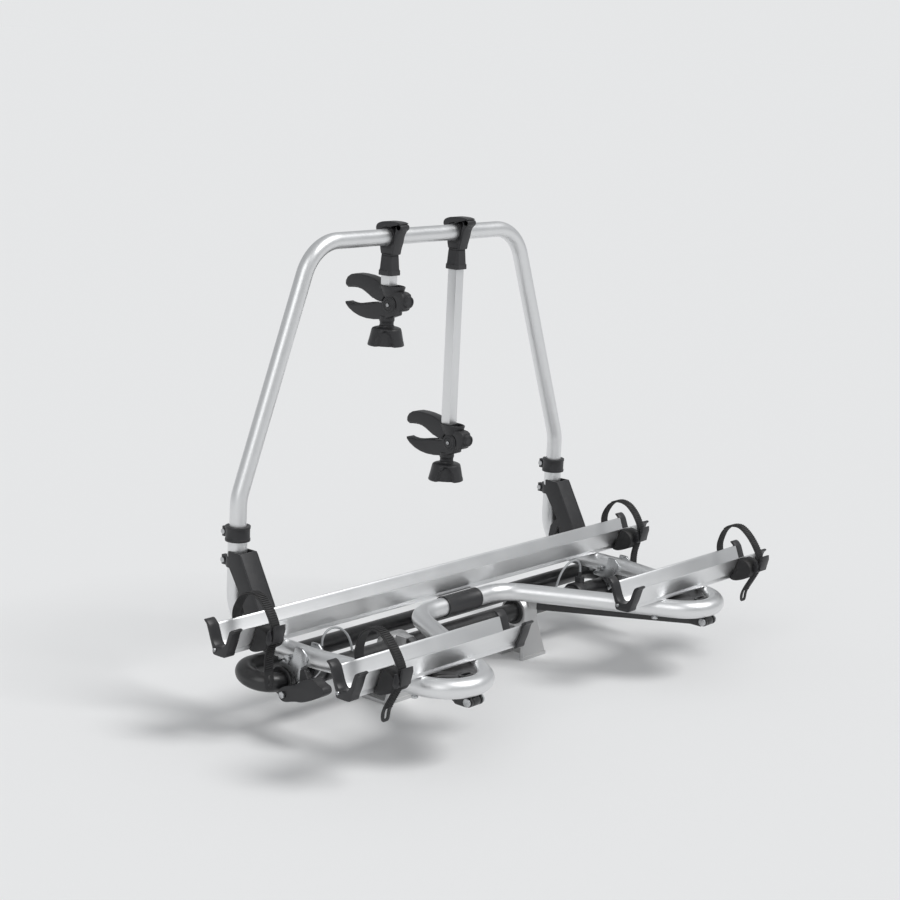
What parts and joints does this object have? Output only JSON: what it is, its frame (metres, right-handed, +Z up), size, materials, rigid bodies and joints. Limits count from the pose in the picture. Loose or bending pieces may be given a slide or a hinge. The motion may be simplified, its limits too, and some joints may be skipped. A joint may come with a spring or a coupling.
{
  "type": "tilting bike rack for a caravan drawbar",
  "caption": "Tilting tube rack with an upright hoop, wheel rails with straps, hinged latches and sliding arms with clamping claws, on a drawbar base.",
  "frame": {"origin": "centre of the four mounting holes on the foot plane, under the black base tube", "axes": "+X along the wheel rails, +Y from the platform hinge towards the hoop, +Z up"},
  "size_m": [1.368, 0.6963, 0.994],
  "materials": {
    "anodised": "satin anodised",
    "cast_alloy": "blasted casting",
    "black_paint": "black powder coat",
    "black_plastic": "fine moulded grain",
    "grey_plastic": "satin sheath",
    "black_rubber": "matt, ribbed",
    "steel": "zinc plated"
  },
  "bodies": {
    "base": {"base_tube_left": "black_paint", "base_tube_right": "black_paint", "bracket_left": "cast_alloy", "bracket_right": "cast_alloy", "bracket_bushes": "black_rubber", "base_bolts": "steel", "base_arm_left": "black_paint", "base_arm_right": "black_paint", "hinge_pins": "steel", "end_plate_left": "black_paint", "end_plate_right": "black_paint", "cable_stops": "black_plastic", "release_cables": "grey_plastic"},
    "latch_left": {"latch_lever_left": "black_plastic"},
    "latch_right": {"latch_lever_right": "black_plastic"},
    "platform": {"frame_tube_left": "anodised", "frame_tube_right": "anodised", "center_sleeve": "black_plastic", "collar_left": "black_plastic", "collar_right": "black_plastic", "brace_left": "black_plastic", "brace_right": "black_plastic", "frame_bolts": "steel", "striker_left": "steel", "striker_right": "steel", "gusset_left": "black_paint", "gusset_right": "black_paint", "rear_rail": "anodised", "front_rail_left": "anodised", "front_rail_right": "anodised", "rail_caps": "black_plastic", "rail_bolts": "steel", "hoop": "anodised", "strap_bases": "black_rubber", "buckles": "black_plastic", "strap_rear_left": "black_rubber", "strap_rear_right": "black_rubber", "strap_front_left": "black_rubber", "strap_front_right": "black_rubber"},
    "lever_rear_left": {"buckle_lever_rear_left": "black_plastic"},
    "lever_rear_right": {"buckle_lever_rear_right": "black_plastic"},
    "lever_front_left": {"buckle_lever_front_left": "black_plastic"},
    "lever_front_right": {"buckle_lever_front_right": "black_plastic"},
    "short_carriage": {"short_arm_liner": "black_plastic"},
    "short_arm": {"short_arm_clamp": "black_plastic", "short_arm_bar": "anodised", "short_claw_upper": "black_plastic", "short_claw_pivot": "steel"},
    "short_wing": {"short_arm_wing": "black_plastic"},
    "short_jaw": {"short_claw_lower": "black_plastic"},
    "short_knob": {"short_claw_knob": "black_plastic"},
    "long_carriage": {"long_arm_liner": "black_plastic"},
    "long_arm": {"long_arm_clamp": "black_plastic", "long_arm_bar": "anodised", "long_claw_upper": "black_plastic", "long_claw_pivot": "steel"},
    "long_wing": {"long_arm_wing": "black_plastic"},
    "long_jaw": {"long_claw_lower": "black_plastic"},
    "long_knob": {"long_claw_knob": "black_plastic"}
  },
  "joints": [
    {"name": "platform_tilt", "type": "hinge", "parent": "base", "child": "platform", "pos_m": [0, -0.383, 0.135], "axis": [1, 0, 0], "range_deg": [0, 50]},
    {"name": "latch_left_swing", "type": "hinge", "parent": "base", "child": "latch_left", "pos_m": [-0.557, -0.033, 0.094], "axis": [1, 0, 0], "range_deg": [0, 30]},
    {"name": "latch_right_swing", "type": "hinge", "parent": "base", "child": "latch_right", "pos_m": [0.557, -0.033, 0.094], "axis": [1, 0, 0], "range_deg": [0, 30]},
    {"name": "lever_rear_left_flip", "type": "hinge", "parent": "platform", "child": "lever_rear_left", "pos_m": [-0.605, -0.049, 0.217], "axis": [1, 0, 0], "range_deg": [0, 80]},
    {"name": "lever_rear_right_flip", "type": "hinge", "parent": "platform", "child": "lever_rear_right", "pos_m": [0.605, -0.049, 0.217], "axis": [1, 0, 0], "range_deg": [0, 80]},
    {"name": "lever_front_left_flip", "type": "hinge", "parent": "platform", "child": "lever_front_left", "pos_m": [-0.605, -0.386, 0.217], "axis": [1, 0, 0], "range_deg": [0, 80]},
    {"name": "lever_front_right_flip", "type": "hinge", "parent": "platform", "child": "lever_front_right", "pos_m": [0.605, -0.386, 0.217], "axis": [1, 0, 0], "range_deg": [0, 80]},
    {"name": "short_slide", "type": "slide", "parent": "platform", "child": "short_carriage", "axis": [1, 0, 0], "range_m": [-0.11, 0.05]},
    {"name": "short_swing", "type": "hinge", "parent": "short_carriage", "child": "short_arm", "pos_m": [-0.093, 0.165, 0.957], "axis": [1, 0, 0], "range_deg": [-110, 0]},
    {"name": "short_wing_flip", "type": "hinge", "parent": "short_arm", "child": "short_wing", "pos_m": [-0.093, 0.131, 0.98], "axis": [1, 0, 0], "range_deg": [0, 70]},
    {"name": "short_jaw_swing", "type": "hinge", "parent": "short_arm", "child": "short_jaw", "pos_m": [-0.093, 0.151, 0.813], "axis": [1, 0, 0], "range_deg": [-18, 6]},
    {"name": "short_knob_turn", "type": "hinge", "parent": "short_jaw", "child": "short_knob", "pos_m": [-0.093, 0.167, 0.813], "axis": [0, 0, 1], "continuous": true},
    {"name": "long_slide", "type": "slide", "parent": "platform", "child": "long_carriage", "axis": [1, 0, 0], "range_m": [-0.06, 0.11]},
    {"name": "long_swing", "type": "hinge", "parent": "long_carriage", "child": "long_arm", "pos_m": [0.124, 0.165, 0.957], "axis": [1, 0, 0], "range_deg": [-110, 0]},
    {"name": "long_wing_flip", "type": "hinge", "parent": "long_arm", "child": "long_wing", "pos_m": [0.124, 0.131, 0.98], "axis": [1, 0, 0], "range_deg": [0, 70]},
    {"name": "long_jaw_swing", "type": "hinge", "parent": "long_arm", "child": "long_jaw", "pos_m": [0.124, 0.151, 0.484], "axis": [1, 0, 0], "range_deg": [-18, 6]},
    {"name": "long_knob_turn", "type": "hinge", "parent": "long_jaw", "child": "long_knob", "pos_m": [0.124, 0.167, 0.484], "axis": [0, 0, 1], "continuous": true}
  ],
  "couplings": [
    {"joint": "latch_right_swing", "follows": "latch_left_swing", "ratio": 1}
  ]
}
